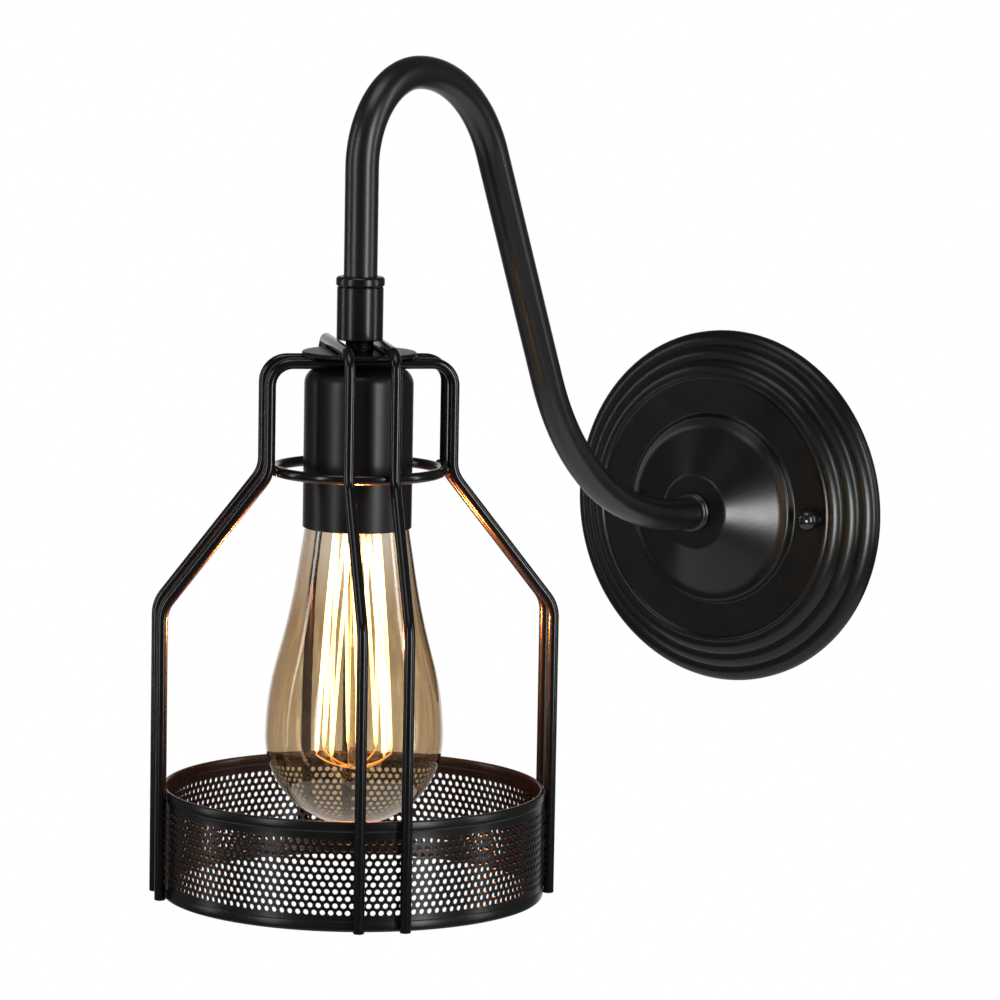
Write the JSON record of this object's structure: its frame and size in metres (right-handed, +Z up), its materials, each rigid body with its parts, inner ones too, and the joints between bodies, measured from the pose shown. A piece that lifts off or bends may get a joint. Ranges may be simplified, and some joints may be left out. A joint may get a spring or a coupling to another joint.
{
  "type": "cage wall light",
  "caption": "Wall light with a spun round canopy, a swan-neck tube arm and an open wire cage with a perforated band around a teardrop filament bulb.",
  "frame": {"origin": "centre of the wall face, behind the canopy, on the wall plane Y = 0", "axes": "+Y into the wall, the light stands out towards -Y, +Z up, +X to the right seen from the front"},
  "size_m": [0.14, 0.3189, 0.3],
  "materials": {
    "canopy_paint": "satin",
    "arm_paint": "satin",
    "coupler_paint": "satin",
    "disc_paint": "gloss",
    "wire_paint": "gloss",
    "band_paint": "satin",
    "cup_paint": "satin",
    "nut_paint": "gloss",
    "zinc_steel": "satin",
    "threaded_tube": "satin",
    "block_plastic": "matt",
    "earth_brass": "satin",
    "live_insulation": "matt",
    "neutral_insulation": "matt",
    "earth_insulation": "matt",
    "holder_body": "matt",
    "holder_brass": "satin",
    "amber_glass": "gloss",
    "cap_brass": "satin",
    "cap_glass": "gloss",
    "solder": "satin",
    "stem_glass": "gloss",
    "hook_metal": "satin",
    "filament_wire": "satin"
  },
  "bodies": {
    "fixture": {"wall_canopy": "canopy_paint", "arm_tube": "arm_paint", "canopy_collar": "arm_paint", "coupler": "coupler_paint", "top_disc": "disc_paint", "upper_frame_left": "wire_paint", "upper_frame_right": "wire_paint", "lower_frame_front": "wire_paint", "lower_frame_back": "wire_paint", "neck_ring": "wire_paint", "perforated_band": "band_paint", "socket_cup": "cup_paint", "wall_bracket": "zinc_steel", "bracket_studs": "zinc_steel", "wall_lock_washer": "zinc_steel", "wall_lock_nut": "zinc_steel", "earth_tag": "zinc_steel", "holder_washer": "zinc_steel", "holder_nut": "zinc_steel", "terminal_screws": "zinc_steel", "wall_nipple": "threaded_tube", "cage_nipple": "threaded_tube", "terminal_block": "block_plastic", "earth_screw": "earth_brass", "live_lead": "live_insulation", "neutral_lead": "neutral_insulation", "earth_lead": "earth_insulation", "socket_body": "holder_body", "contact_rivets": "holder_brass", "socket_shell": "holder_brass", "centre_contact": "holder_brass"},
    "bulb": {"bulb_glass": "amber_glass", "bulb_cap": "cap_brass", "bulb_insulator": "cap_glass", "bulb_tip": "solder", "glass_stem": "stem_glass", "filament_hooks": "hook_metal", "filament": "filament_wire"},
    "left_nut": {"cap_nut_left": "nut_paint"},
    "right_nut": {"cap_nut_right": "nut_paint"}
  },
  "joints": [
    {"name": "bulb_out", "type": "slide", "parent": "fixture", "child": "bulb", "axis": [0, 0, -1], "range_m": [0, 0.15]},
    {"name": "left_nut_off", "type": "slide", "parent": "fixture", "child": "left_nut", "axis": [0, -1, 0], "range_m": [0, 0.012]},
    {"name": "right_nut_off", "type": "slide", "parent": "fixture", "child": "right_nut", "axis": [0, -1, 0], "range_m": [0, 0.012]}
  ]
}
